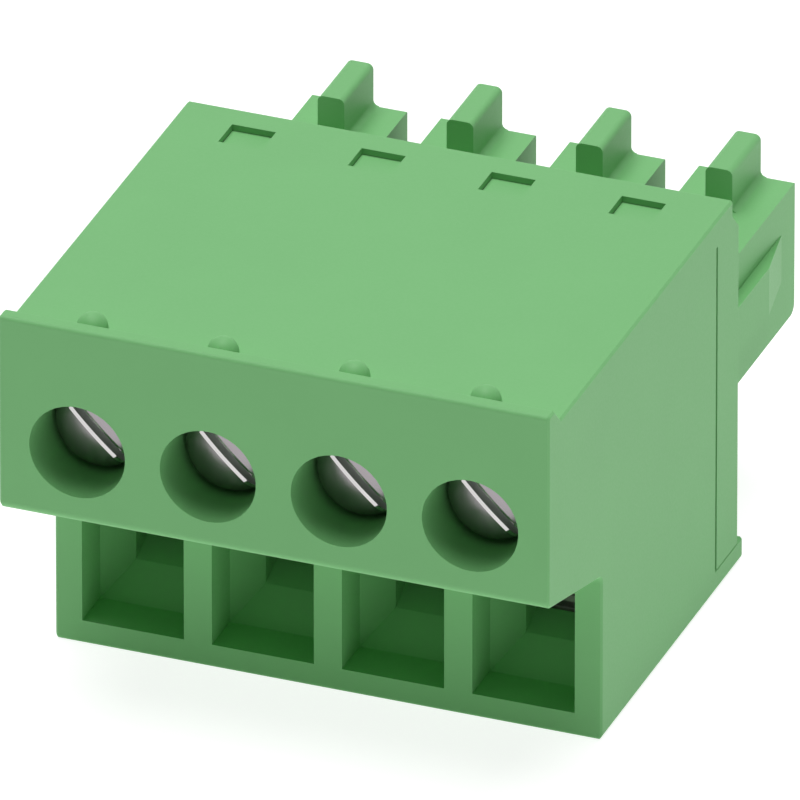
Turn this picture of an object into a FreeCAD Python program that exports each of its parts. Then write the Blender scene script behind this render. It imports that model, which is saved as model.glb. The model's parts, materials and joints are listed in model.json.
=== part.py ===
import FreeCAD, Part
import math
import os

# Pluggable terminal block with front screws, in millimetres.
# The sizes below are counted from the left side (X), the upper front face (Y, going back) and the
# bottom (Z, going up). The finished pieces are then centred over the origin.

# Poles and walls across the width
POLES = 4
PITCH = 3.81
ROOM_WIDTH = 2.99
END_WALL = 0.79

# Front of the housing
STEP_BACK = 4.10
BROW_BELOW_BORE = 0.76
BROW_SLOPE = 15.2
BROW_ROUND = 0.30
COVE = 0.30
LIP_WIDTH = 0.43
LIP_RISE = 0.50
EDGE_ROUND = 0.12
SIDE_ROUND = 0.06
SIDE_BEVEL = 0.06
BOTTOM_ROUND = 0.20
PIP_RADIUS = 0.44
PIP_BEHIND_LIP = 0.25

# Walls, roof and rear of the housing
FLOOR = 0.72
ROOF = 0.84
ROOF_END_FACE = 0.55
ROOF_SHORT = 0.48
REAR_SLOPE = 46.8
FOOT_PAST_FLANGE = 0.38
FOOT_ROUND = 0.07
SEAM = 0.12

# Wire entry
ENTRY_HEIGHT = 3.73
ENTRY_STRAIGHT = 1.36
FUNNEL_LENGTH = 1.00
FUNNEL_STEP_Z = 0.83
FUNNEL_STEP_X = 0.67
THROAT_LENGTH = 0.84
THROAT_RISE = 0.40

# Screw and its bore
BORE_RADIUS = 1.40
SCREW_RECESS = 1.35
HEAD_PLAY = 0.10
HEAD_LENGTH = 1.27
HEAD_ROUND = 0.40
HEAD_SEAT_GAP = 0.08
SHANK_RADIUS = 1.00
SHANK_PLAY = 0.08
SCREW_PAST_NUT = 0.40
SCREW_TIP_BEVEL = 0.20
SLOT_WIDTH = 0.40
SLOT_DEPTH = 0.40
SLOT_ANGLE = 45.0

# Travelling clamp nut
NUT_LENGTH = 1.80
NUT_WIDTH = 2.70
NUT_BELOW_SCREW = 1.84
NUT_ABOVE_SCREW = 1.45
NUT_PLAY = 0.05
NUT_BEVEL = 0.15
NUT_HEADROOM = 0.99

# Clamp lever, which turns on two trunnions
LEVER_FRONT_GAP = 0.20
LEVER_REACH = 2.10
LEVER_THICK = 0.60
LEVER_FOOT = 0.60
LEVER_HUB = 0.62
LEVER_SIDE_GAP = 0.06
LEVER_TIP_ROUND = 0.18
LEVER_BEND_ROUND = 0.27
PIVOT_ABOVE_BAR = 3.15
NUT_ABOVE_PIVOT = 1.45
ARM_LAP = 0.45
ARM_GAP = 0.10
TRUNNION_RADIUS = 0.35
TRUNNION_PLAY = 0.05
TRUNNION_SHORT = 0.02

# Socket contact, bent from one sheet
SHEET = 0.35
CONTACT_SIDE_GAP = 0.055
CONTACT_FRONT_GAP = 0.20
CHEEK_MARGIN = 0.42
CHEEK_ROUND = 0.78
RISER_NUT_GAP = 0.50
RISER_REAR_GAP = 0.22
LEAF_SHEET = 0.30
LEAF_HEIGHT = 1.40
LEAF_STRAIGHT = 2.00
LEAF_PINCH_SHORT = 2.00
LEAF_END_SHORT = 0.50
LEAF_WALL_GAP = 0.08
PIN_SIZE = 0.80
PIN_BITE = 0.05
GRIP_RIDGES = 3
GRIP_PITCH = 0.45
GRIP_HEIGHT = 0.12

# Steel over-spring, a clip around the two leaves
CLIP_SHEET = 0.18
CLIP_GAP = 0.02
CLIP_WALL_GAP = 0.05
CLIP_WEB = 1.40
CLIP_SHORT = 0.25

# Contact carrier with its noses
FLANGE = 1.66
NOSE_REACH = 6.75
NOSE_WIDTH = 2.80
NOSE_HEIGHT = 4.05
NOSE_ROUND = 0.30
NOSE_SIDE_WALL = 0.40
NOSE_FLOOR_WALL = 0.50
NOSE_END_WALL = 0.80
PIN_HEIGHT = 6.355
PIN_MOUTH = 1.30
PIN_LEAD_IN = 0.30
RIB_WIDTH = 0.79
RIB_LENGTH = 2.24
RIB_HEIGHT = 1.29
RIB_ROUND = 0.18
RIB_COVE = 0.17
RIDGE_PROUD = 0.35
RIDGE_HEIGHT = 1.48
RIDGE_BELOW_PIN = 0.585
RIDGE_END_SHORT = 1.03
RIDGE_RAMP = 1.91
LATCH_WIDTH = 1.29
LATCH_FORWARD = 0.74
LATCH_BACK = 0.32
LATCH_PLAY = 0.02
LATCH_SUNK = 0.19
LATCH_ROOT = 0.55

# A cutting tool starts this far outside the face that it opens
OVERCUT = 0.50

# Two places closer than this are the same place
SAME = 1e-6

# Half widths, from the pole's centre
room_half = ROOM_WIDTH / 2
throat_half = room_half - FUNNEL_STEP_X
cavity_half = NOSE_WIDTH / 2 - NOSE_SIDE_WALL

# Places across the width
first_pole = END_WALL + room_half
width = 2 * first_pole + (POLES - 1) * PITCH

# Places along the length, from the front to the back
head_under = SCREW_RECESS + HEAD_LENGTH
seat = head_under + HEAD_SEAT_GAP
funnel_start = STEP_BACK + ENTRY_STRAIGHT
throat_start = funnel_start + FUNNEL_LENGTH
chamber_start = throat_start + THROAT_LENGTH
pivot_y = chamber_start + LEVER_FRONT_GAP + LEVER_REACH
nut_front = pivot_y + LEVER_THICK / 2 + ARM_GAP
nut_rear = nut_front + NUT_LENGTH
screw_end = nut_rear + SCREW_PAST_NUT
riser_front = nut_rear + RISER_NUT_GAP
side_end = riser_front + SHEET + RISER_REAR_GAP
flange_start = side_end + SEAM
flange_end = flange_start + FLANGE
nose_end = flange_end + NOSE_REACH
roof_end = flange_end - ROOF_SHORT
foot_end = flange_end + FOOT_PAST_FLANGE

# Heights, from the bottom up
entry_top = FLOOR + ENTRY_HEIGHT
throat_floor = FLOOR + FUNNEL_STEP_Z
throat_top = entry_top - FUNNEL_STEP_Z
bar_top = throat_floor + THROAT_RISE
chamber_floor = bar_top - SHEET
pivot_z = bar_top + PIVOT_ABOVE_BAR
nut_bottom = pivot_z + NUT_ABOVE_PIVOT
screw_z = nut_bottom + NUT_BELOW_SCREW
nut_top = screw_z + NUT_ABOVE_SCREW
roof_under = nut_top + NUT_HEADROOM
top = roof_under + ROOF
brow_z = screw_z - BORE_RADIUS - BROW_BELOW_BORE
nose_low = PIN_HEIGHT - NOSE_HEIGHT / 2
nose_high = nose_low + NOSE_HEIGHT


def point_yz(y, z, x=0.0):
    """Point named by its place in the side view."""
    return FreeCAD.Vector(x, y, z)


def rounded_outline(corners):
    """Closed outline in the YZ plane; each corner is (y, z, radius), with radius 0 for a sharp one."""
    starts = []
    ends = []
    arcs = []
    count = len(corners)
    for i in range(count):
        before = point_yz(*corners[i - 1][:2])
        here = point_yz(*corners[i][:2])
        after = point_yz(*corners[(i + 1) % count][:2])
        radius = corners[i][2]
        back = (before - here).normalize()
        on = (after - here).normalize()
        half = back.getAngle(on) / 2
        reach = radius / math.tan(half)
        start = here + back * reach
        end = here + on * reach
        starts.append(start)
        ends.append(end)
        if radius > 0:
            middle_way = (back + on).normalize()
            centre = here + middle_way * (radius / math.sin(half))
            arcs.append(centre - middle_way * radius)
        else:
            arcs.append(None)
    edges = []
    for i in range(count):
        if arcs[i] is not None:
            edges.append(Part.Arc(starts[i], arcs[i], ends[i]).toShape())
        following = starts[(i + 1) % count]
        if ends[i].distanceToPoint(following) > SAME:
            edges.append(Part.LineSegment(ends[i], following).toShape())
    return Part.Wire(Part.__sortEdges__(edges))


def prism(corners, x_low, x_high):
    """Solid with a rounded YZ outline, from one X to another."""
    face = Part.Face(rounded_outline(corners))
    face.translate(FreeCAD.Vector(x_low, 0, 0))
    return face.extrude(FreeCAD.Vector(x_high - x_low, 0, 0))


def block(x_low, x_high, y_low, y_high, z_low, z_high):
    """Rectangular solid between two corners."""
    size = (x_high - x_low, y_high - y_low, z_high - z_low)
    return Part.makeBox(*size, FreeCAD.Vector(x_low, y_low, z_low))


def rod_y(radius, y_low, y_high, z):
    """Round bar along Y, on the pole's centre."""
    return Part.makeCylinder(radius, y_high - y_low, point_yz(y_low, z), FreeCAD.Vector(0, 1, 0))


def rod_x(radius, x_low, x_high, y, z):
    """Round bar along X."""
    return Part.makeCylinder(radius, x_high - x_low, point_yz(y, z, x_low), FreeCAD.Vector(1, 0, 0))


def plan_plate(outline, z_low, z_high):
    """Solid with a flat XY outline, given as (x, y) points, from one Z to another."""
    points = [FreeCAD.Vector(x, y, z_low) for x, y in outline]
    points.append(points[0])
    face = Part.Face(Part.makePolygon(points))
    return face.extrude(FreeCAD.Vector(0, 0, z_high - z_low))


def taper_y(front, rear):
    """Solid along Y between two rectangles on the pole's centre, each (y, half width, low z, high z)."""
    y_front, half_front, low_front, high_front = front
    y_rear, half_rear, low_rear, high_rear = rear
    return Part.makeWedge(-half_front, y_front, low_front, low_rear, -half_rear,
                          half_front, y_rear, high_front, high_rear, half_rear)


def at_pole(shape, index):
    """Copy of a shape drawn at X 0, moved to one pole."""
    moved = shape.copy()
    moved.translate(FreeCAD.Vector(first_pole + index * PITCH, 0, 0))
    return moved


def rear_bevel_z(y):
    """Height of the sloped rear bevel, which roof and flange share, at a place along Y."""
    return top - ROOF_END_FACE - (y - roof_end) * math.tan(math.radians(REAR_SLOPE))


def rear_bevel_y(z):
    """Place along Y of the same bevel at a height."""
    return roof_end + (top - ROOF_END_FACE - z) / math.tan(math.radians(REAR_SLOPE))


def housing_shell():
    """Outer form: lip, sloped brow over the lower front, roof, foot and open rear."""
    step_z = brow_z - STEP_BACK * math.tan(math.radians(BROW_SLOPE))
    shell = prism([
        (0.0, brow_z, BROW_ROUND),
        (0.0, top + LIP_RISE, EDGE_ROUND),
        (LIP_WIDTH, top + LIP_RISE, SIDE_ROUND),
        (LIP_WIDTH + LIP_RISE, top, 0.0),
        (roof_end, top, SIDE_ROUND),
        (roof_end, top - ROOF_END_FACE, 0.0),
        (rear_bevel_y(roof_under), roof_under, 0.0),
        (side_end, roof_under, 0.0),
        (side_end, FLOOR, 0.0),
        (foot_end, FLOOR, FOOT_ROUND),
        (foot_end, 0.0, FOOT_ROUND),
        (STEP_BACK, 0.0, EDGE_ROUND),
        (STEP_BACK, step_z, COVE),
    ], 0.0, width)
    shell = shell.makeChamfer(SIDE_BEVEL, [e for e in shell.Edges if is_outer_side_edge(e)])
    return shell.common(long_edge_form())


def long_edge_form():
    """Block over the whole housing whose two long lower edges are rounded."""
    crown = top + LIP_RISE
    outline = rounded_outline([
        (0.0, 0.0, BOTTOM_ROUND),
        (width, 0.0, BOTTOM_ROUND),
        (width, crown, 0.0),
        (0.0, crown, 0.0),
    ])
    outline.rotate(FreeCAD.Vector(0, 0, 0), FreeCAD.Vector(0, 0, 1), -90)
    return Part.Face(outline).extrude(FreeCAD.Vector(0, foot_end, 0))


def is_outer_side_edge(edge):
    """True for an edge of either side face that isn't part of the rear seam."""
    box = edge.BoundBox
    on_side = box.XLength < SAME and (abs(box.XMin) < SAME or abs(box.XMin - width) < SAME)
    at_seam = box.YMin > side_end - SAME and box.ZMin > FLOOR - FOOT_ROUND - SAME
    return on_side and not at_seam


def pole_hollow():
    """What is cut from the housing at each pole: screw bore, wire entry, throat and chamber."""
    bore = rod_y(BORE_RADIUS, -OVERCUT, seat, screw_z)
    shank_hole = rod_y(SHANK_RADIUS + SHANK_PLAY, seat - OVERCUT, chamber_start + OVERCUT, screw_z)
    chamber = block(-room_half, room_half, chamber_start, side_end + OVERCUT, chamber_floor, roof_under)
    mouth = block(-room_half, room_half, STEP_BACK - OVERCUT, funnel_start, FLOOR, entry_top)
    funnel = taper_y((funnel_start, room_half, FLOOR, entry_top),
                     (throat_start, throat_half, throat_floor, throat_top))
    throat = taper_y((throat_start, throat_half, throat_floor, throat_top),
                     (chamber_start, throat_half, bar_top, throat_top))
    window = block(-LATCH_WIDTH / 2, LATCH_WIDTH / 2, flange_start - LATCH_FORWARD,
                   flange_start + LATCH_BACK, roof_under - OVERCUT, top + OVERCUT)
    return [bore, shank_hole, chamber, mouth, funnel, throat, window]


def front_housing():
    """Moulded housing with a lip, pips, screw bores, wire entries and latch windows."""
    body = housing_shell()
    pip = Part.makeSphere(PIP_RADIUS, point_yz(LIP_WIDTH + LIP_RISE + PIP_BEHIND_LIP, top))
    body = body.multiFuse([at_pole(pip, i) for i in range(POLES)])
    for i in range(POLES):
        for cutter in pole_hollow():
            body = body.cut(at_pole(cutter, i))
    return body.removeSplitter()


def coding_rib():
    """Rib on a nose, with a rounded crest and coves at its base."""
    half = RIB_WIDTH / 2
    crest = nose_high + RIB_HEIGHT
    wide = half + RIB_COVE
    outline = rounded_outline([
        (-wide, nose_high - OVERCUT, 0.0),
        (wide, nose_high - OVERCUT, 0.0),
        (wide, nose_high, 0.0),
        (half, nose_high, RIB_COVE),
        (half, crest, RIB_ROUND),
        (-half, crest, RIB_ROUND),
        (-half, nose_high, RIB_COVE),
        (-wide, nose_high, 0.0),
    ])
    outline.rotate(FreeCAD.Vector(0, 0, 0), FreeCAD.Vector(0, 0, 1), -90)
    outline.translate(FreeCAD.Vector(0, nose_end - RIB_LENGTH, 0))
    return Part.Face(outline).extrude(FreeCAD.Vector(0, RIB_LENGTH, 0))


def nose():
    """One nose of the carrier, solid, with its coding rib."""
    half = NOSE_WIDTH / 2
    shell = prism([
        (flange_start + OVERCUT, nose_low, 0.0),
        (flange_start + OVERCUT, nose_high, 0.0),
        (nose_end, nose_high, SIDE_ROUND),
        (nose_end, nose_low, NOSE_ROUND),
    ], -half, half)
    return shell.fuse(coding_rib())


def nose_hollow():
    """Contact cavity of one nose, with the pin's mouth and its lead-in."""
    cavity_end = nose_end - NOSE_END_WALL
    cavity = block(-cavity_half, cavity_half, flange_start - OVERCUT, cavity_end,
                   nose_low + NOSE_FLOOR_WALL, nose_high - NOSE_FLOOR_WALL)
    mouth_half = PIN_MOUTH / 2
    mouth = block(-mouth_half, mouth_half, cavity_end - OVERCUT, nose_end + OVERCUT,
                  PIN_HEIGHT - mouth_half, PIN_HEIGHT + mouth_half)
    wide_half = mouth_half + PIN_LEAD_IN
    lead_in = taper_y(
        (nose_end - PIN_LEAD_IN, mouth_half, PIN_HEIGHT - mouth_half, PIN_HEIGHT + mouth_half),
        (nose_end, wide_half, PIN_HEIGHT - wide_half, PIN_HEIGHT + wide_half))
    return [cavity, mouth, lead_in]


def guide_ridge(side):
    """Guide ridge on an end nose; side is -1 for the left nose and 1 for the right one."""
    face = side * NOSE_WIDTH / 2
    inside = face - side * NOSE_SIDE_WALL / 2
    proud = face + side * RIDGE_PROUD
    ridge_end = nose_end - RIDGE_END_SHORT
    low = PIN_HEIGHT - RIDGE_BELOW_PIN
    return plan_plate([
        (inside, flange_end - FLANGE / 2),
        (proud, flange_end - FLANGE / 2),
        (proud, ridge_end - RIDGE_RAMP),
        (face, ridge_end),
        (inside, ridge_end),
    ], low, low + RIDGE_HEIGHT)


def latch_hook():
    """Snap hook that stands up from the flange into a window of the roof."""
    half = LATCH_WIDTH / 2 - LATCH_PLAY
    front = flange_start - LATCH_FORWARD + LATCH_PLAY
    back = flange_start + LATCH_BACK - LATCH_PLAY
    return block(-half, half, front, back, roof_under - LATCH_ROOT, top - LATCH_SUNK)


def contact_carrier():
    """Rear carrier: a flange between the housing's floor and roof, four noses and snap hooks."""
    flange = prism([
        (flange_start, FLOOR, 0.0),
        (flange_start, roof_under, 0.0),
        (rear_bevel_y(roof_under), roof_under, 0.0),
        (flange_end, rear_bevel_z(flange_end), 0.0),
        (flange_end, FLOOR, 0.0),
    ], 0.0, width)
    corners = [e for e in flange.Edges if e.BoundBox.YMin > flange_end - SAME and e.BoundBox.XLength < SAME]
    body = flange.makeFillet(SIDE_ROUND, corners)
    added = []
    for i in range(POLES):
        added.append(at_pole(nose(), i))
        added.append(at_pole(latch_hook(), i))
    added.append(at_pole(guide_ridge(-1), 0))
    added.append(at_pole(guide_ridge(1), POLES - 1))
    body = body.multiFuse(added)
    for i in range(POLES):
        for cutter in nose_hollow():
            body = body.cut(at_pole(cutter, i))
    return body.removeSplitter()


def clamp_screw():
    """Captive slotted screw, its rim rounded in two flats, seated in its bore and run through the nut."""
    head = BORE_RADIUS - HEAD_PLAY
    rim = HEAD_ROUND * (1 - math.cos(math.radians(45)))
    outline = rounded_outline([
        (SCREW_RECESS, 0.0, 0.0),
        (SCREW_RECESS, head - HEAD_ROUND, 0.0),
        (SCREW_RECESS + rim, head - rim, 0.0),
        (SCREW_RECESS + HEAD_ROUND, head, 0.0),
        (head_under, head, 0.0),
        (head_under, SHANK_RADIUS, 0.0),
        (screw_end - SCREW_TIP_BEVEL, SHANK_RADIUS, 0.0),
        (screw_end, SHANK_RADIUS - SCREW_TIP_BEVEL, 0.0),
        (screw_end, 0.0, 0.0),
    ])
    turned = Part.Face(outline).revolve(FreeCAD.Vector(0, 0, 0), FreeCAD.Vector(0, 1, 0), 360)
    slot = block(-head - OVERCUT, head + OVERCUT, SCREW_RECESS - OVERCUT, SCREW_RECESS + SLOT_DEPTH,
                 -SLOT_WIDTH / 2, SLOT_WIDTH / 2)
    slot.rotate(FreeCAD.Vector(0, 0, 0), FreeCAD.Vector(0, 1, 0), SLOT_ANGLE)
    screw = turned.cut(slot)
    screw.translate(point_yz(0, screw_z))
    return screw


def clamp_nut():
    """Square nut that the screw draws forward, kept from turning by the chamber's walls."""
    half = NUT_WIDTH / 2
    nut = prism([
        (nut_front, nut_bottom, 0.0),
        (nut_front, nut_top, NUT_BEVEL),
        (nut_rear, nut_top, NUT_BEVEL),
        (nut_rear, nut_bottom, 0.0),
    ], -half, half)
    return nut.cut(rod_y(SHANK_RADIUS + NUT_PLAY, nut_front - OVERCUT, nut_rear + OVERCUT, screw_z))


def cheek_inner_x():
    """Inner face of a contact cheek, from the pole's centre."""
    return room_half - CONTACT_SIDE_GAP - SHEET


def clamp_lever():
    """Bell-crank lever: an upright arm before the nut, a forward arm with a foot, and trunnions."""
    half = cheek_inner_x() - LEVER_SIDE_GAP
    thick = LEVER_THICK / 2
    tip = pivot_y - LEVER_REACH
    arm = prism([
        (pivot_y - thick, pivot_z, 0.0),
        (pivot_y - thick, nut_bottom + ARM_LAP, 0.0),
        (pivot_y + thick, nut_bottom + ARM_LAP, LEVER_TIP_ROUND),
        (pivot_y + thick, pivot_z, 0.0),
    ], -half, half)
    reach = prism([
        (tip, throat_top, LEVER_TIP_ROUND),
        (tip, pivot_z + thick, LEVER_BEND_ROUND),
        (pivot_y, pivot_z + thick, 0.0),
        (pivot_y, pivot_z - thick, 0.0),
        (tip + LEVER_FOOT, pivot_z - thick, 0.0),
        (tip + LEVER_FOOT, throat_top, 0.0),
    ], -half, half)
    hub = rod_x(LEVER_HUB, -half, half, pivot_y, pivot_z)
    pin_half = cheek_inner_x() + SHEET - TRUNNION_SHORT
    pin = rod_x(TRUNNION_RADIUS, -pin_half, pin_half, pivot_y, pivot_z)
    return arm.multiFuse([reach, hub, pin]).removeSplitter()


def leaf_inner_line():
    """Inner line of the right leaf seen from above, as (x, y) points from front to back."""
    pinch = PIN_SIZE / 2 - PIN_BITE
    straight = cavity_half - CLIP_WALL_GAP - CLIP_SHEET - CLIP_GAP - LEAF_SHEET
    flared = cavity_half - LEAF_WALL_GAP - LEAF_SHEET
    cavity_end = nose_end - NOSE_END_WALL
    return [
        (straight, riser_front),
        (straight, flange_start + LEAF_STRAIGHT),
        (pinch, cavity_end - LEAF_PINCH_SHORT),
        (flared, cavity_end - LEAF_END_SHORT),
    ]


def band_outline(line, offset, thickness, side):
    """Outline of a strip beside a line seen from above, on the left (-1) or right (1) of the pole."""
    near = [(side * (x + offset), y) for x, y in line]
    far = [(side * (x + offset + thickness), y) for x, y in line]
    return near + far[::-1]


def grip_ridge(y):
    """Low ridge across the clamping bar, which bites into the wire."""
    half = cheek_inner_x()
    return prism([
        (y - GRIP_HEIGHT, bar_top - SHEET / 2, 0.0),
        (y - GRIP_HEIGHT, bar_top, 0.0),
        (y, bar_top + GRIP_HEIGHT, 0.0),
        (y + GRIP_HEIGHT, bar_top, 0.0),
        (y + GRIP_HEIGHT, bar_top - SHEET / 2, 0.0),
    ], -half, half)


def socket_contact():
    """Contact: clamping bar, two cheeks with pivot holes, a riser and a two-leaf socket."""
    outer = cheek_inner_x() + SHEET
    inner = cheek_inner_x()
    start = chamber_start + CONTACT_FRONT_GAP
    hole = TRUNNION_RADIUS + TRUNNION_PLAY
    cheek_half = hole + CHEEK_MARGIN
    riser_rear = riser_front + SHEET
    leaf_low = PIN_HEIGHT - LEAF_HEIGHT / 2
    leaf_high = PIN_HEIGHT + LEAF_HEIGHT / 2
    bar = block(-outer, outer, start, riser_rear, chamber_floor, bar_top)
    riser = block(-inner, inner, riser_front, riser_rear, chamber_floor, leaf_high)
    pieces = [riser]
    for side in (-1, 1):
        low_x = min(side * inner, side * outer)
        cheek = prism([
            (pivot_y - cheek_half, chamber_floor, 0.0),
            (pivot_y - cheek_half, pivot_z + cheek_half, CHEEK_ROUND),
            (pivot_y + cheek_half, pivot_z + cheek_half, CHEEK_ROUND),
            (pivot_y + cheek_half, chamber_floor, 0.0),
        ], low_x, low_x + SHEET)
        pieces.append(cheek)
        pieces.append(plan_plate(band_outline(leaf_inner_line(), 0.0, LEAF_SHEET, side), leaf_low, leaf_high))
    for k in range(GRIP_RIDGES):
        pieces.append(grip_ridge(start + GRIP_PITCH * (k + 1)))
    contact = bar.multiFuse(pieces)
    contact = contact.cut(rod_x(hole, -outer - OVERCUT, outer + OVERCUT, pivot_y, pivot_z))
    return contact.removeSplitter()


def over_spring():
    """Steel clip that presses the two leaves together: two arms and a web over the top."""
    leaf_high = PIN_HEIGHT + LEAF_HEIGHT / 2
    leaf_low = PIN_HEIGHT - LEAF_HEIGHT / 2
    web_low = leaf_high + CLIP_GAP
    line = leaf_inner_line()
    taper_x, taper_y = line[1]
    start = taper_y - CLIP_WEB
    pinch_x, pinch_y = line[2]
    arm_line = [(taper_x, start), (taper_x, taper_y), (pinch_x, pinch_y)]
    arms = []
    for side in (-1, 1):
        outline = band_outline(arm_line, LEAF_SHEET + CLIP_GAP, CLIP_SHEET, side)
        arms.append(plan_plate(outline, leaf_low + CLIP_SHORT, web_low + CLIP_SHEET))
    web_half = taper_x + LEAF_SHEET + CLIP_GAP + CLIP_SHEET
    web = block(-web_half, web_half, start, taper_y, web_low, web_low + CLIP_SHEET)
    return web.multiFuse(arms).removeSplitter()


def export(name, shape):
    """Writes one piece, centred over the origin, after checking that it is one closed solid."""
    shape = shape.copy()
    shape.translate(FreeCAD.Vector(-width / 2, -nose_end / 2, 0))
    solids = shape.Solids
    print(name, "solids", len(solids), "valid", shape.isValid(), "volume", round(shape.Volume, 3))
    solids[0].exportStep("parts/" + name + ".step")


def main():
    os.makedirs("parts", exist_ok=True)
    export("front_housing", front_housing())
    export("contact_carrier", contact_carrier())
    per_pole = {
        "clamp_screw": clamp_screw(),
        "clamp_nut": clamp_nut(),
        "clamp_lever": clamp_lever(),
        "socket_contact": socket_contact(),
        "over_spring": over_spring(),
    }
    for name, shape in per_pole.items():
        for i in range(POLES):
            export(name + "_" + str(i + 1), at_pole(shape, i))


main()
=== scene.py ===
"""Dresses a four-pole pluggable screw terminal block and its studio.

The moulded and stamped parts keep their solids and get their finishes here.
The clamp screws are turned again in finer detail, with a slot and a thread.
"""

import json
import logging
import math
from dataclasses import dataclass, field
from enum import Enum

import bmesh
import bpy
from mathutils import Matrix, Vector


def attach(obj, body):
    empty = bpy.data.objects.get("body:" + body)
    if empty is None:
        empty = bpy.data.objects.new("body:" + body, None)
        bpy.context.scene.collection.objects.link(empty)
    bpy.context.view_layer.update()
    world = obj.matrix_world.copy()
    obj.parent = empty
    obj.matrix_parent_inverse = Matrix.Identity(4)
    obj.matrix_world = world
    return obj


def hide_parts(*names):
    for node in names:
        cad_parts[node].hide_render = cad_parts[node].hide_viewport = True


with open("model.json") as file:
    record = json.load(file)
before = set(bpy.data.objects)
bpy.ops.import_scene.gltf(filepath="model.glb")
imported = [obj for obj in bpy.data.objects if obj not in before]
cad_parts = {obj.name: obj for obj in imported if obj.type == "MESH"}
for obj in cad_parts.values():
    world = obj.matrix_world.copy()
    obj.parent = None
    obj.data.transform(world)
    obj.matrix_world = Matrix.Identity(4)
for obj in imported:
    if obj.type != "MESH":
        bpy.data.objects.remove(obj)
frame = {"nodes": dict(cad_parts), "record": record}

LOG = logging.getLogger("terminal_block")
MM = 0.001
# Two lengths in millimetres that differ by less than this are the same.
SAME_MM = 1e-4
# A vertex this near to a cutting plane, in millimetres, is taken to lie on it.
ON_PLANE_MM = 1e-6
# Most values of a noise lie between these two.
NOISE_LOW, NOISE_HIGH = 0.3, 0.7
# A wave texture of scale 1 repeats after about this share of a unit.
WAVE_LENGTH = 1.0 / 3.0


class Slot(Enum):
    """The material slots of the part's record."""

    HOUSING = "housing_green"
    CARRIER = "carrier_green"
    SCREW = "screw_steel"
    NUT = "nut_plated"
    LEVER = "lever_steel"
    CONTACT = "contact_tin"
    SPRING = "spring_steel"


class Grain(Enum):
    """The direction in which a strip was rolled, as how much finer its marks are on each axis."""

    ACROSS = (1.0, 14.0, 14.0)
    ALONG = (14.0, 1.0, 14.0)
    NONE = (1.0, 1.0, 1.0)


class ScrewFace(Enum):
    """The kinds of face on a screw, as places in its list of materials."""

    PLATED = 0
    LIP = 1
    SAWN = 2


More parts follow.
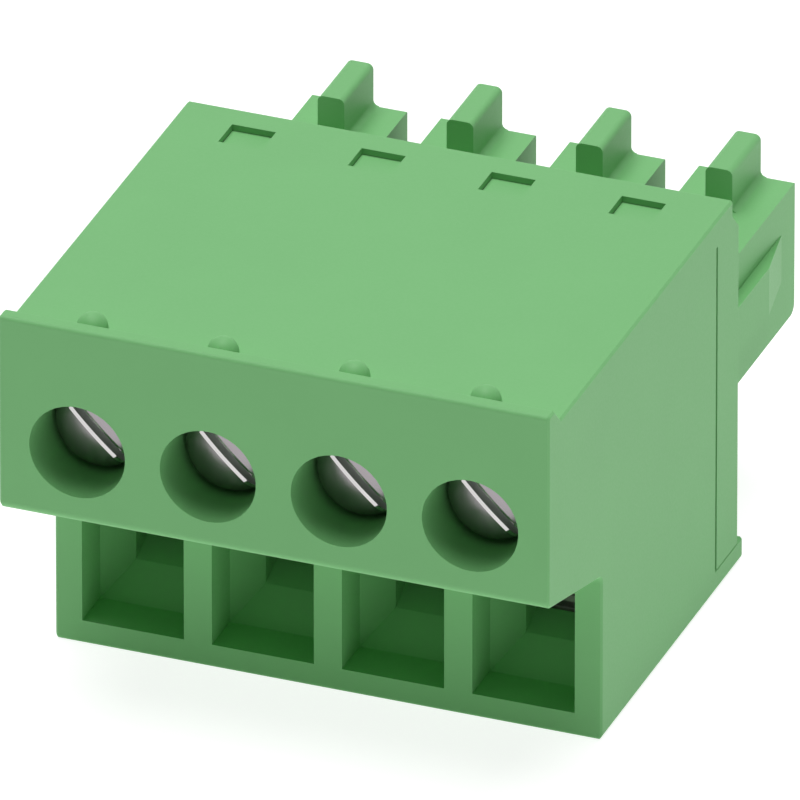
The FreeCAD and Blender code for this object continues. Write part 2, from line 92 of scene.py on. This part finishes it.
class NodeBench:
    """Adds and joins shader nodes in one material or world."""

    def __init__(self, name: str, world: bool = False) -> None:
        """Starts an empty material or world.

        Args:
            name: The name of the material or world.
            world: Whether a world is made.
        """
        self.owner = (bpy.data.worlds if world else bpy.data.materials).new(name)
        self.output = "ShaderNodeOutputWorld" if world else "ShaderNodeOutputMaterial"
        self.owner.use_nodes = True
        self.tree = self.owner.node_tree
        self.tree.nodes.clear()

    def add(self, kind: str, **values: object) -> bpy.types.Node:
        """Adds one node.

        Args:
            kind: The node's type name.
            values: Attributes of the node, such as its operation.

        Returns:
            The new node.
        """
        node = self.tree.nodes.new(kind)
        for key, value in values.items():
            setattr(node, key, value)
        return node

    def join(self, source: bpy.types.NodeSocket, target: bpy.types.NodeSocket) -> None:
        """Joins an output to an input."""
        self.tree.links.new(source, target)

    def place(self, grain: Grain, uv: bool = False) -> bpy.types.NodeSocket:
        """Gives coordinates that stay with the piece.

        Args:
            grain: The direction of the marks that read them.
            uv: Whether the piece's own UV map is read.

        Returns:
            The mapped coordinates.
        """
        coordinates = self.add("ShaderNodeTexCoord")
        mapping = self.add("ShaderNodeMapping")
        mapping.inputs["Scale"].default_value = grain.value
        self.join(coordinates.outputs["UV" if uv else "Object"], mapping.inputs["Vector"])
        return mapping.outputs["Vector"]

    def noise(self, place: bpy.types.NodeSocket, size_mm: float, detail: float) -> bpy.types.NodeSocket:
        """Adds a noise pattern.

        Args:
            place: The coordinates that it reads.
            size_mm: The size of its features.
            detail: Levels of finer noise.

        Returns:
            The noise value.
        """
        texture = self.add("ShaderNodeTexNoise")
        texture.inputs["Scale"].default_value = 1.0 / (size_mm * MM)
        texture.inputs["Detail"].default_value = detail
        self.join(place, texture.inputs["Vector"])
        return texture.outputs["Fac"]

    def spread(self, value: bpy.types.NodeSocket, low: float, high: float) -> bpy.types.NodeSocket:
        """Maps the middle of a pattern's values onto a range.

        Args:
            value: The pattern.
            low: Result at the low end.
            high: Result at the high end.

        Returns:
            The mapped value.
        """
        ramp = self.add("ShaderNodeMapRange")
        ramp.inputs["From Min"].default_value = NOISE_LOW
        ramp.inputs["From Max"].default_value = NOISE_HIGH
        ramp.inputs["To Min"].default_value = low
        ramp.inputs["To Max"].default_value = high
        self.join(value, ramp.inputs["Value"])
        return ramp.outputs["Result"]

    def tint(
        self,
        value: bpy.types.NodeSocket,
        first: tuple[float, float, float],
        second: tuple[float, float, float],
    ) -> bpy.types.NodeSocket:
        """Mixes two colours by a value.

        Args:
            value: The mix, from 0 to 1.
            first: Linear colour at 0.
            second: Linear colour at 1.

        Returns:
            The mixed colour.
        """
        mix = self.add("ShaderNodeMix", data_type="RGBA")
        mix.inputs["A"].default_value = (*first, 1.0)
        mix.inputs["B"].default_value = (*second, 1.0)
        self.join(value, mix.inputs["Factor"])
        return mix.outputs["Result"]

    def mottle(
        self, value: bpy.types.NodeSocket, colour: tuple[float, float, float], share: float
    ) -> bpy.types.NodeSocket:
        """Makes a colour a little darker and lighter by a pattern.

        Args:
            value: The pattern, from 0 to 1.
            colour: The middle colour.
            share: How far it strays, as a share of itself.

        Returns:
            The mottled colour.
        """
        return self.tint(value, shade(colour, 1.0 - share), shade(colour, 1.0 + share))

    def relief(self, height: bpy.types.NodeSocket, height_mm: float, strength: float) -> bpy.types.NodeSocket:
        """Raises fine marks on the surface.

        Args:
            height: The pattern of the marks, from 0 to 1.
            height_mm: The height of a mark.
            strength: The share of it that shows.

        Returns:
            The normal of the marked surface.
        """
        bump = self.add("ShaderNodeBump")
        bump.inputs["Strength"].default_value = strength
        bump.inputs["Distance"].default_value = height_mm * MM
        self.join(height, bump.inputs["Height"])
        return bump.outputs["Normal"]

    def finish(self, shader: bpy.types.Node) -> bpy.types.Material | bpy.types.World:
        """Joins a shader to the surface.

        Args:
            shader: The last shader node.

        Returns:
            The finished material or world.
        """
        output = self.add(self.output)
        self.join(shader.outputs[0], output.inputs["Surface"])
        return self.owner


def shade(colour: tuple[float, float, float], factor: float) -> tuple[float, float, float]:
    """Makes a colour lighter or darker by one factor."""
    return tuple(min(1.0, part * factor) for part in colour)


def same(first: float, second: float) -> bool:
    """Tells whether two lengths in millimetres are the same."""
    return abs(first - second) < SAME_MM


@dataclass(frozen=True)
class MouldedPlastic:
    """A satin injection moulding with a fine spark-eroded grain and faint clouds in its colour."""

    colour: tuple[float, float, float]
    roughness: float = 0.52
    roughness_spread: float = 0.04
    specular: float = 0.28
    grain_mm: float = 0.09
    grain_detail: float = 2.0
    grain_height_mm: float = 0.0035
    grain_strength: float = 0.6
    cloud_mm: float = 2.6
    cloud_detail: float = 3.0
    cloud_share: float = 0.012

    def material(self, name: str) -> bpy.types.Material:
        """Makes the material.

        Args:
            name: The material's name.

        Returns:
            The finished material.
        """
        bench = NodeBench(name)
        place = bench.place(Grain.NONE)
        shader = bench.add("ShaderNodeBsdfPrincipled")
        shader.inputs["Specular IOR Level"].default_value = self.specular
        clouds = bench.spread(bench.noise(place, self.cloud_mm, self.cloud_detail), 0.0, 1.0)
        bench.join(bench.mottle(clouds, self.colour, self.cloud_share), shader.inputs["Base Color"])
        grain = bench.noise(place, self.grain_mm, self.grain_detail)
        low, high = self.roughness - self.roughness_spread, self.roughness + self.roughness_spread
        bench.join(bench.spread(grain, low, high), shader.inputs["Roughness"])
        normal = bench.relief(grain, self.grain_height_mm, self.grain_strength)
        bench.join(normal, shader.inputs["Normal"])
        return bench.finish(shader)


@dataclass(frozen=True)
class PlatedMetal:
    """A plated or rolled metal with faint working marks and stains."""

    colour: tuple[float, float, float]
    roughness: float
    roughness_spread: float = 0.03
    grain: Grain = Grain.NONE
    turned: bool = False
    mark_mm: float = 0.12
    mark_detail: float = 3.0
    mark_height_mm: float = 0.002
    mark_strength: float = 0.5
    ring_wander: float = 1.2
    stain_mm: float = 0.8
    stain_detail: float = 4.0
    stain_share: float = 0.10

    def material(self, name: str) -> bpy.types.Material:
        """Makes the material.

        Args:
            name: The material's name.

        Returns:
            The finished material.
        """
        bench = NodeBench(name)
        shader = bench.add("ShaderNodeBsdfPrincipled")
        shader.inputs["Metallic"].default_value = 1.0
        patches = bench.noise(bench.place(Grain.NONE), self.stain_mm, self.stain_detail)
        stains = bench.spread(patches, 0.0, 1.0)
        bench.join(bench.mottle(stains, self.colour, self.stain_share), shader.inputs["Base Color"])
        low, high = self.roughness - self.roughness_spread, self.roughness + self.roughness_spread
        bench.join(bench.spread(stains, low, high), shader.inputs["Roughness"])
        marks = self.rings(bench) if self.turned else self.strokes(bench)
        normal = bench.relief(marks, self.mark_height_mm, self.mark_strength)
        bench.join(normal, shader.inputs["Normal"])
        return bench.finish(shader)

    def strokes(self, bench: NodeBench) -> bpy.types.NodeSocket:
        """Makes the marks of rolling or plating, stretched along the grain."""
        return bench.noise(bench.place(self.grain), self.mark_mm, self.mark_detail)

    def rings(self, bench: NodeBench) -> bpy.types.NodeSocket:
        """Makes the marks of a lathe, round the axis that the piece's UV map holds.

        Args:
            bench: The material's nodes.

        Returns:
            The height, from 0 to 1.
        """
        rings = bench.add("ShaderNodeTexWave", wave_type="RINGS", rings_direction="SPHERICAL")
        rings.inputs["Scale"].default_value = WAVE_LENGTH / self.mark_mm
        rings.inputs["Distortion"].default_value = self.ring_wander
        bench.join(bench.place(Grain.NONE, uv=True), rings.inputs["Vector"])
        return rings.outputs["Fac"]


@dataclass
class Finishes:
    """The finish of every material slot, made once."""

    plastic: MouldedPlastic = MouldedPlastic((0.196, 0.51, 0.196))
    screw: PlatedMetal = PlatedMetal(
        (0.325, 0.300, 0.315), roughness=0.24, mark_height_mm=0.0003, stain_share=0.03, turned=True
    )
    # The slot's lips are much lighter than the plating: a painted highlight along the lips. Their low
    # roughness is real.
    slot_lip_painted_highlight: PlatedMetal = PlatedMetal(
        (0.68, 0.67, 0.66), roughness=0.16, mark_height_mm=0.0002, stain_share=0.02
    )
    # The slot's walls are rough from sawing. Their slight green tint is a painted reflection of the green
    # housing round the head.
    slot_wall_painted_reflection: PlatedMetal = PlatedMetal(
        (0.50, 0.52, 0.50), roughness=0.42, grain=Grain.ALONG, mark_height_mm=0.001
    )
    nut: PlatedMetal = PlatedMetal((0.60, 0.57, 0.50), roughness=0.30)
    lever: PlatedMetal = PlatedMetal((0.55, 0.55, 0.53), roughness=0.46, grain=Grain.ALONG)
    contact: PlatedMetal = PlatedMetal((0.66, 0.65, 0.61), roughness=0.42, grain=Grain.ALONG)
    spring: PlatedMetal = PlatedMetal((0.50, 0.50, 0.51), roughness=0.24, grain=Grain.ACROSS)
    made: dict[Slot, bpy.types.Material] = field(default_factory=dict)
    screw_faces: dict[ScrewFace, bpy.types.Material] = field(default_factory=dict)

    def build(self) -> None:
        """Makes one material for each slot, and two for the driver slots: lips with a painted highlight, and
        walls with a painted green reflection.
        """
        kinds = {
            Slot.HOUSING: self.plastic,
            Slot.CARRIER: self.plastic,
            Slot.SCREW: self.screw,
            Slot.NUT: self.nut,
            Slot.LEVER: self.lever,
            Slot.CONTACT: self.contact,
            Slot.SPRING: self.spring,
        }
        for slot, kind in kinds.items():
            self.made[slot] = kind.material(slot.value)
        self.screw_faces = {
            ScrewFace.PLATED: self.made[Slot.SCREW],
            ScrewFace.LIP: self.slot_lip_painted_highlight.material("lip_painted_highlight"),
            ScrewFace.SAWN: self.slot_wall_painted_reflection.material("sawn_slot_painted_reflection"),
        }

    def dress(self, record: dict, nodes: dict[str, bpy.types.Object]) -> None:
        """Gives every carried node the finish of its slot.

        Args:
            record: The part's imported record.
            nodes: The carried nodes by name.
        """
        for row in record["subparts"]:
            piece = nodes[row["node"]]
            material = self.made[Slot(row["material_slot"])]
            for place in piece.material_slots:
                place.material = material
            if not piece.material_slots:
                piece.data.materials.append(material)


@dataclass
class ClampScrew:
    """A captive slotted screw, turned about its own axis and then laid in place.

    Lengths are in millimetres, and those along the screw start at the head's face.

    Attributes:
        pole: The number of its pole, from the left.
        across: Its axis's place to the right of the part's middle.
        face_at: The head's face along the part, from the part's middle.
        height: Its axis's height above the floor.
        crown_lines: Cuts of the face on each side of the middle, a crown_step apart.
        root_end: The end of a tooth's flat root, as a share of the pitch.
        crest_start: The start of its flat crest, as a share of the pitch.
        crest_end: The end of its flat crest, as a share of the pitch.
        neck_overlap: How far the neck reaches into the head and the thread.
        slot_mouth: The slot's width over its two sloping lips.
        slot_mouth_depth: How far the lips slope down.
        slot_angle: Degrees by which the slot is turned from level.
        crease_angle: Degrees from which an edge is shaded as a sharp one.
    """

    pole: int
    across: float
    face_at: float = -9.35
    height: float = 8.39
    head_radius: float = 1.30
    head_length: float = 1.27
    head_round: float = 0.36
    head_round_steps: int = 7
    under_round: float = 0.05
    under_round_steps: int = 2
    head_segments: int = 96
    crown_radius: float = 8.0
    crown_step: float = 0.24
    crown_lines: int = 4
    shank_radius: float = 1.00
    shank_end: float = 10.85
    root_radius: float = 0.80
    thread_start: float = 2.60
    thread_pitch: float = 0.40
    thread_segments: int = 36
    root_end: float = 0.20
    crest_start: float = 0.55
    crest_end: float = 0.65
    tip_bevel: float = 0.20
    neck_radius: float = 0.82
    neck_overlap: float = 0.02
    neck_segments: int = 48
    slot_width: float = 0.22
    slot_depth: float = 0.40
    slot_mouth: float = 0.40
    slot_mouth_depth: float = 0.045
    slot_angle: float = 45.0
    crease_angle: float = 20.0

    def name(self) -> str:
        """Names the piece."""
        return f"turned_screw_{self.pole}"

    def slice(
        self,
        bm: bmesh.types.BMesh,
        place: tuple[float, float, float],
        normal: tuple[float, float, float],
        **clear: bool,
    ) -> None:
        """Cuts all faces along a plane.

        Args:
            bm: The mesh.
            place: A point of the plane.
            normal: The plane's direction.
            clear: clear_inner or clear_outer, where one side is thrown away.
        """
        geom = bm.verts[:] + bm.edges[:] + bm.faces[:]
        bmesh.ops.bisect_plane(bm, geom=geom, dist=ON_PLANE_MM, plane_co=place, plane_no=normal, **clear)

    def head(self) -> bmesh.types.BMesh:
        """Turns the head with its rounded rim, face up at height nought.

        Returns:
            The closed head, still with a flat face.
        """
        bm = bmesh.new()
        bmesh.ops.create_cone(
            bm,
            cap_ends=True,
            segments=self.head_segments,
            radius1=self.head_radius,
            radius2=self.head_radius,
            depth=self.head_length,
            matrix=Matrix.Translation((0, 0, -self.head_length / 2)),
        )
        rims = (
            (0.0, self.head_round, self.head_round_steps),
            (-self.head_length, self.under_round, self.under_round_steps),
        )
        for height, offset, steps in rims:
            ring = [e for e in bm.edges if all(same(v.co.z, height) for v in e.verts)]
            bmesh.ops.bevel(
                bm, geom=ring, offset=offset, affect="EDGES", segments=steps, profile=0.5, material=-1
            )
        return bm

    def cut_slot(self, bm: bmesh.types.BMesh) -> None:
        """Saws the driver slot across the head, with lines for its lips.

        Args:
            bm: The head, face up.
        """
        half = self.slot_width / 2
        for side in (self.slot_mouth / 2, half, -half, -self.slot_mouth / 2):
            self.slice(bm, (0, side, 0), (0, 1, 0))
        self.slice(bm, (0, 0, -self.slot_depth), (0, 0, 1))
        swarf = []
        for face in bm.faces:
            centre = face.calc_center_median()
            if abs(centre.y) < half and centre.z > -self.slot_depth:
                swarf.append(face)
        bmesh.ops.delete(bm, geom=swarf, context="FACES")

    def close_slot(self, bm: bmesh.types.BMesh) -> None:
        """Gives the sawn slot its two walls and its floor.

        Args:
            bm: The head with the slot cut open.
        """
        half = self.slot_width / 2
        for side in (half, -half):
            line = [v for v in bm.verts if same(v.co.y, side)]
            foot = bm.edges.new([v for v in line if same(v.co.z, -self.slot_depth)])
            rim = [e for e in bm.edges if e.is_boundary and all(v in line for v in e.verts)]
            bmesh.ops.contextual_create(bm, geom=[*rim, foot])
        bmesh.ops.holes_fill(bm, edges=[e for e in bm.edges if e.is_boundary], sides=0)

    def slope_lips(self, bm: bmesh.types.BMesh) -> None:
        """Slopes the slot's lips, and marks them for their painted highlight and the slot's inside for its
        painted green reflection.

        Args:
            bm: The head with its closed slot.
        """
        half = self.slot_width / 2
        lips = [v for v in bm.verts if same(abs(v.co.y), half) and v.co.z > -self.head_round / 2]
        bmesh.ops.translate(bm, verts=lips, vec=(0, 0, -self.slot_mouth_depth))
        for face in bm.faces:
            reach = abs(face.calc_center_median().y)
            lowest = min(v.co.z for v in face.verts)
            inside = reach < half + SAME_MM
            if inside and lowest > -self.slot_depth - SAME_MM:
                face.material_index = ScrewFace.SAWN.value
            elif not inside and reach < self.slot_mouth / 2 and lowest > -self.head_round:
                face.material_index = ScrewFace.LIP.value

    def crown(self, bm: bmesh.types.BMesh) -> None:
        """Gives the flat face its low crown, less and less down to the head's underside.

        Args:
            bm: The head with its slot.
        """
        for line in range(-self.crown_lines, self.crown_lines + 1):
            place = self.crown_step * line
            self.slice(bm, (place, 0, 0), (1, 0, 0))
            if abs(place) > self.slot_mouth / 2:
                self.slice(bm, (0, place, 0), (0, 1, 0))
        for vert in bm.verts:
            share = 1.0 + vert.co.z / self.head_length
            vert.co.z -= share * vert.co.xy.length_squared / (2 * self.crown_radius)

    def thread(self, bm: bmesh.types.BMesh) -> None:
        """Winds the thread below the head by spinning a row of teeth along the axis.

        The row has a tooth to spare at each end, because the spin climbs by a pitch.

        Args:
            bm: The mesh that gets the closed shank.
        """
        teeth = math.ceil((self.shank_end - self.thread_start) / self.thread_pitch) + 2
        profile = (
            (self.root_radius, 0.0),
            (self.root_radius, self.root_end),
            (self.shank_radius, self.crest_start),
            (self.shank_radius, self.crest_end),
        )
        row = []
        for tooth in range(teeth):
            top = -self.thread_start + self.thread_pitch - tooth * self.thread_pitch
            for radius, share in profile:
                row.append(bm.verts.new((radius, 0, top - self.thread_pitch * share)))
        row.append(bm.verts.new((self.root_radius, 0, top - self.thread_pitch)))
        flank = [bm.edges.new(pair) for pair in zip(row, row[1:])]
        bmesh.ops.spin(
            bm,
            geom=[*row, *flank],
            cent=(0, 0, 0),
            axis=(0, 0, 1),
            dvec=(0, 0, self.thread_pitch / self.thread_segments),
            angle=math.tau,
            steps=self.thread_segments,
            use_merge=False,
        )
        bmesh.ops.remove_doubles(bm, verts=bm.verts[:], dist=SAME_MM)
        self.slice(bm, (0, 0, -self.thread_start), (0, 0, 1), clear_outer=True)
        self.slice(bm, (0, 0, -self.shank_end), (0, 0, 1), clear_inner=True)
        bmesh.ops.holes_fill(bm, edges=[e for e in bm.edges if e.is_boundary], sides=0)

    def point(self, bm: bmesh.types.BMesh) -> None:
        """Turns the thread's last turns down to a bevelled tip.

        Args:
            bm: The threaded shank.
        """
        for vert in bm.verts:
            room = self.shank_radius - self.tip_bevel + (self.shank_end + vert.co.z)
            out = math.hypot(vert.co.x, vert.co.y)
            if out > room:
                vert.co.xy *= room / out

    def neck(self, bm: bmesh.types.BMesh) -> None:
        """Adds the plain neck between the head and the thread.

        Args:
            bm: The threaded shank.
        """
        start, end = self.head_length - self.neck_overlap, self.thread_start + self.neck_overlap
        bmesh.ops.create_cone(
            bm,
            cap_ends=True,
            segments=self.neck_segments,
            radius1=self.neck_radius,
            radius2=self.neck_radius,
            depth=end - start,
            matrix=Matrix.Translation((0, 0, -(start + end) / 2)),
        )

    def unwrap(self, mesh: bpy.types.Mesh) -> None:
        """Lays the turning marks' coordinates round the screw's own axis.

        Args:
            mesh: The screw's mesh while its axis is still upright.
        """
        layer = mesh.uv_layers.new(name="turning")
        for loop in mesh.loops:
            layer.data[loop.index].uv = mesh.vertices[loop.vertex_index].co.xy

    def turn(self) -> bpy.types.Mesh:
        """Turns the whole screw, upright and in millimetres.

        Returns:
            The closed mesh of head, neck and thread.
        """
        mesh = bpy.data.meshes.new(self.name())
        shank = bmesh.new()
        self.thread(shank)
        self.point(shank)
        self.neck(shank)
        shank.to_mesh(mesh)
        shank.free()
        whole = self.head()
        self.cut_slot(whole)
        self.close_slot(whole)
        self.slope_lips(whole)
        self.crown(whole)
        whole.from_mesh(mesh)
        bmesh.ops.recalc_face_normals(whole, faces=whole.faces[:])
        whole.to_mesh(mesh)
        whole.free()
        return mesh

    def build(self, finishes: Finishes) -> bpy.types.Object:
        """Makes the screw, lays it in its bore and dresses it.

        Args:
            finishes: The finished materials.

        Returns:
            The finished screw.
        """
        mesh = self.turn()
        self.unwrap(mesh)
        upright = Matrix.Rotation(math.radians(-self.slot_angle), 4, "Z")
        level = Matrix.Rotation(math.radians(90.0), 4, "X") @ upright
        bore = Matrix.Translation(Vector((self.across, self.face_at, self.height)) * MM)
        mesh.transform(bore @ Matrix.Scale(MM, 4) @ level)
        for face in ScrewFace:
            mesh.materials.append(finishes.screw_faces[face])
        mesh.shade_smooth()
        mesh.set_sharp_from_angle(angle=math.radians(self.crease_angle))
        piece = bpy.data.objects.new(self.name(), mesh)
        bpy.context.collection.objects.link(piece)
        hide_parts(f"clamp_screw_{self.pole}")
        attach(piece, f"clamp_screw_{self.pole}")
        return piece


@dataclass
class ScrewRow:
    """The clamp screws across the block, a pitch apart in millimetres."""

    poles: int = 4
    pitch: float = 3.81

    def build(self, finishes: Finishes) -> list[bpy.types.Object]:
        """Makes the screws from left to right.

        Args:
            finishes: The finished materials.

        Returns:
            The screws.
        """
        first = -self.pitch * (self.poles - 1) / 2
        made = []
        for index in range(self.poles):
            screw = ClampScrew(pole=index + 1, across=first + self.pitch * index)
            made.append(screw.build(finishes))
        return made


@dataclass(frozen=True)
class SoftBox:
    """A wide lamp, with its place and width in degrees and the level that it gives a surface facing it."""

    name: str
    azimuth: float
    elevation: float
    spread: float
    level: float


@dataclass
class Studio:
    """The camera, floor and light round the part.

    Attributes:
        azimuth: The camera's place in degrees to the right of the front.
        elevation: The camera's place in degrees above the floor.
        distance: Millimetres from the camera to its aim.
        lens: Focal length in millimetres.
        sensor: Width of the camera's sensor in millimetres.
        aim_right: Millimetres by which the aim is right of the part's middle, as the camera sees it.
        aim_up: Millimetres by which the aim is above aim_height, as the camera sees it.
        aim_height: Millimetres from the floor up to the point that the aim starts from.
        clip_start: Metres to the nearest thing that the camera shows.
        clip_end: Metres to the furthest thing that the camera shows.
        floor_size: The floor's width in metres.
        sky: The sky's level as it lights the part.
        card: The floor's colour as it lights the part.
        card_glow: The floor's own light as it lights the part.
        card_seen: The floor's colour as the camera sees it.
        card_seen_glow: The floor's own light as the camera sees it.
        boxes: The soft boxes.
    """

    azimuth: float = 21.018
    elevation: float = 28.918
    distance: float = 1004.36
    lens: float = 1650.0
    sensor: float = 36.0
    aim_right: float = -0.3968
    aim_up: float = -0.3192
    aim_height: float = 6.0
    clip_start: float = 0.01
    clip_end: float = 20.0
    floor_size: float = 9.0
    sky: float = 0.07
    card: float = 0.90
    card_glow: float = 0.38
    card_seen: float = 0.42
    card_seen_glow: float = 0.84
    boxes: tuple[SoftBox, ...] = (
        SoftBox("overhead_box", azimuth=225.0, elevation=83.0, spread=52.0, level=0.84),
        SoftBox("side_box", azimuth=85.0, elevation=8.0, spread=40.0, level=0.06),
    )

    def direction(self, azimuth: float, elevation: float) -> Vector:
        """Gives the direction from the part to a place round it.

        Args:
            azimuth: Degrees to the right of the front.
            elevation: Degrees above the floor.

        Returns:
            A vector of length one.
        """
        a, e = math.radians(azimuth), math.radians(elevation)
        return Vector((math.sin(a) * math.cos(e), -math.cos(a) * math.cos(e), math.sin(e)))

    def camera(self) -> None:
        """Sets up the long lens at the photograph's angle."""
        data = bpy.data.cameras.new("camera")
        data.lens = self.lens
        data.sensor_width = self.sensor
        data.clip_start = self.clip_start
        data.clip_end = self.clip_end
        back = self.direction(self.azimuth, self.elevation)
        a = math.radians(self.azimuth)
        right = Vector((math.cos(a), math.sin(a), 0.0))
        up = back.cross(right)
        aim = right * self.aim_right + up * self.aim_up + Vector((0, 0, self.aim_height))
        camera = bpy.data.objects.new("camera", data)
        camera.rotation_mode = "QUATERNION"
        camera.location = (aim + back * self.distance) * MM
        camera.rotation_quaternion = Matrix((right, up, back)).transposed().to_quaternion()
        bpy.context.collection.objects.link(camera)
        bpy.context.scene.camera = camera

    def floor(self) -> None:
        """Lays the pale floor."""
        bm = bmesh.new()
        bmesh.ops.create_grid(bm, x_segments=1, y_segments=1, size=self.floor_size / 2)
        mesh = bpy.data.meshes.new("floor")
        bm.to_mesh(mesh)
        bm.free()
        mesh.materials.append(self.floor_finish())
        floor = bpy.data.objects.new("floor", mesh)
        bpy.context.collection.objects.link(floor)

    def seen(self, bench: NodeBench) -> bpy.types.NodeSocket:
        """Tells camera, glossy and transmitted rays from the rest.

        Args:
            bench: The nodes of the floor or the world.

        Returns:
            1 for rays that show the backdrop and 0 for light on the part.
        """
        path = bench.add("ShaderNodeLightPath")
        first = bench.add("ShaderNodeMath", operation="MAXIMUM")
        both = bench.add("ShaderNodeMath", operation="MAXIMUM")
        bench.join(path.outputs["Is Camera Ray"], first.inputs[0])
        bench.join(path.outputs["Is Glossy Ray"], first.inputs[1])
        bench.join(first.outputs[0], both.inputs[0])
        bench.join(path.outputs["Is Transmission Ray"], both.inputs[1])
        return both.outputs[0]

    def floor_finish(self) -> bpy.types.Material:
        """Makes the lit card, white where it is seen, which keeps the part's shadow.

        Returns:
            The floor's material.
        """
        bench = NodeBench("floor_card")
        seen = self.seen(bench)
        card = bench.add("ShaderNodeBsdfDiffuse")
        bench.join(bench.tint(seen, (self.card,) * 3, (self.card_seen,) * 3), card.inputs["Color"])
        glow = bench.add("ShaderNodeEmission")
        light = bench.tint(seen, (self.card_glow,) * 3, (self.card_seen_glow,) * 3)
        bench.join(light, glow.inputs["Color"])
        both = bench.add("ShaderNodeAddShader")
        bench.join(card.outputs[0], both.inputs[0])
        bench.join(glow.outputs[0], both.inputs[1])
        return bench.finish(both)

    def world(self) -> None:
        """Makes the soft sky, which is white where it is seen."""
        bench = NodeBench("studio", world=True)
        sky = bench.add("ShaderNodeBackground")
        bench.join(bench.tint(self.seen(bench), (self.sky,) * 3, (1.0,) * 3), sky.inputs["Color"])
        bpy.context.scene.world = bench.finish(sky)

    def lamp(self, box: SoftBox) -> None:
        """Hangs one soft box so far away that the whole floor is lit evenly.

        Args:
            box: The soft box's place and strength.
        """
        data = bpy.data.lights.new(box.name, "SUN")
        data.angle = math.radians(box.spread)
        # A sun of energy pi lights a white surface that faces it to a level of 1.
        data.energy = box.level * math.pi
        lamp = bpy.data.objects.new(box.name, data)
        lamp.rotation_mode = "QUATERNION"
        lamp.rotation_quaternion = self.direction(box.azimuth, box.elevation).to_track_quat("Z", "Y")
        bpy.context.collection.objects.link(lamp)

    def build(self) -> None:
        """Sets up everything round the part."""
        self.camera()
        self.floor()
        self.world()
        for box in self.boxes:
            self.lamp(box)
        bpy.context.scene.view_settings.view_transform = "Standard"


def main() -> None:
    """Builds the classes in order and reports each piece."""
    logging.basicConfig(level=logging.INFO, format="%(message)s")
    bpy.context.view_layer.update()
    finishes = Finishes()
    finishes.build()
    finishes.dress(frame["record"], frame["nodes"])
    for name in sorted(frame["nodes"]):
        LOG.info("dressed %s", name)
    for screw in ScrewRow().build(finishes):
        LOG.info("made %s with %d faces", screw.name, len(screw.data.polygons))
    Studio().build()
    LOG.info("set up the studio")


if __name__ == "__main__":
    main()
